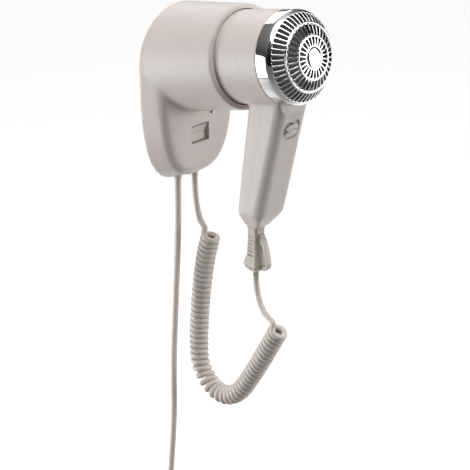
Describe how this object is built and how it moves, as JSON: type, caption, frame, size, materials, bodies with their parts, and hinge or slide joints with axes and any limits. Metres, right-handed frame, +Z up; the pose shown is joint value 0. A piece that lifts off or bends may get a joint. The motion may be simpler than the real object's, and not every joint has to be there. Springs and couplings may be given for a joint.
{
  "type": "wall mounted hair dryer",
  "caption": "Hair dryer that hangs by its nozzle in a tilted wall cup, with a domed slotted air intake, a curly cord to its handle and a mains lead.",
  "frame": {"origin": "on the wall, at the centre of the cup where it meets the wall", "axes": "+Z up, +Y into the wall, the dryer stands out towards -Y, X sideways"},
  "size_m": [0.1104, 0.1796, 0.7319],
  "materials": {
    "housing_plastic": "warm off-white moulded plastic, satin",
    "chrome_plate": "mirror chrome plating on plastic",
    "relief_plastic": "ivory, slightly translucent",
    "cord_sheath": "warm light grey PVC, satin",
    "wire_sleeve": "coloured insulation",
    "inner_black": "black moulded plastic",
    "inner_white": "natural nylon",
    "mica": "mica sheet",
    "steel": "plated steel",
    "magnet": "ferrite",
    "brass": "brass",
    "circuit_board": "printed circuit board"
  },
  "bodies": {
    "holder": {"holder_shell": "housing_plastic", "wall_plate": "housing_plastic", "cup_liner": "housing_plastic", "liner_screw": "steel", "shell_screw": "steel", "rocker_frame": "inner_white", "rocker_terminals": "brass", "switch_wires": "wire_sleeve", "terminal_block": "inner_white", "terminal_screws": "brass", "mains_clamp": "inner_white", "curly_clamp": "inner_white", "clamp_screws": "steel", "mains_grommet": "cord_sheath", "curly_grommet": "cord_sheath", "mains_tail": "cord_sheath", "curly_tail": "cord_sheath", "mains_cores": "wire_sleeve", "curly_cores": "wire_sleeve", "curly_coil": "cord_sheath", "curly_lead_top": "cord_sheath", "curly_lead_bottom": "cord_sheath", "mains_coil": "cord_sheath", "mains_lead": "cord_sheath", "plug_lead": "cord_sheath", "cable_tie": "inner_white", "plug_body": "cord_sheath", "plug_pins": "brass"},
    "power_rocker": {"power_rocker": "housing_plastic"},
    "handset": {"front_housing": "housing_plastic", "rear_housing": "housing_plastic", "housing_screws": "steel", "intake_grille": "chrome_plate", "intake_filter": "inner_black", "motor_can": "steel", "motor_end_cap": "inner_white", "motor_bushes": "brass", "motor_magnets": "magnet", "motor_mount": "inner_black", "rectifier_board": "circuit_board", "rectifier_diodes": "inner_black", "heat_shield": "mica", "mica_board_upright": "mica", "mica_board_level": "mica", "heater_windings": "steel", "thermostat": "inner_black", "thermal_fuse": "steel", "outlet_grille": "inner_black", "switch_body": "inner_black", "handset_relief": "relief_plastic", "handset_tail": "cord_sheath", "handle_clamp": "inner_white", "handset_cores": "wire_sleeve", "motor_leads": "wire_sleeve"},
    "fan": {"fan_impeller": "inner_black", "motor_shaft": "steel", "motor_armature": "steel"},
    "speed_slider": {"speed_slider": "housing_plastic"}
  },
  "joints": [
    {"name": "handset_slide", "type": "slide", "parent": "holder", "child": "handset", "axis": [0, -0.9806, 0.1959], "range_m": [0, 0.08]},
    {"name": "power_rock", "type": "hinge", "parent": "holder", "child": "power_rocker", "pos_m": [0, -0.0195, -0.0745], "axis": [-1, 0, 0], "range_deg": [0, 16]},
    {"name": "fan_spin", "type": "hinge", "parent": "handset", "child": "fan", "pos_m": [0, -0.13925, 0.02782], "axis": [0, -0.9806, 0.1959], "continuous": true},
    {"name": "speed_slide", "type": "slide", "parent": "handset", "child": "speed_slider", "axis": [0, -0.2241, 0.9746], "range_m": [-0.004, 0.004]}
  ]
}
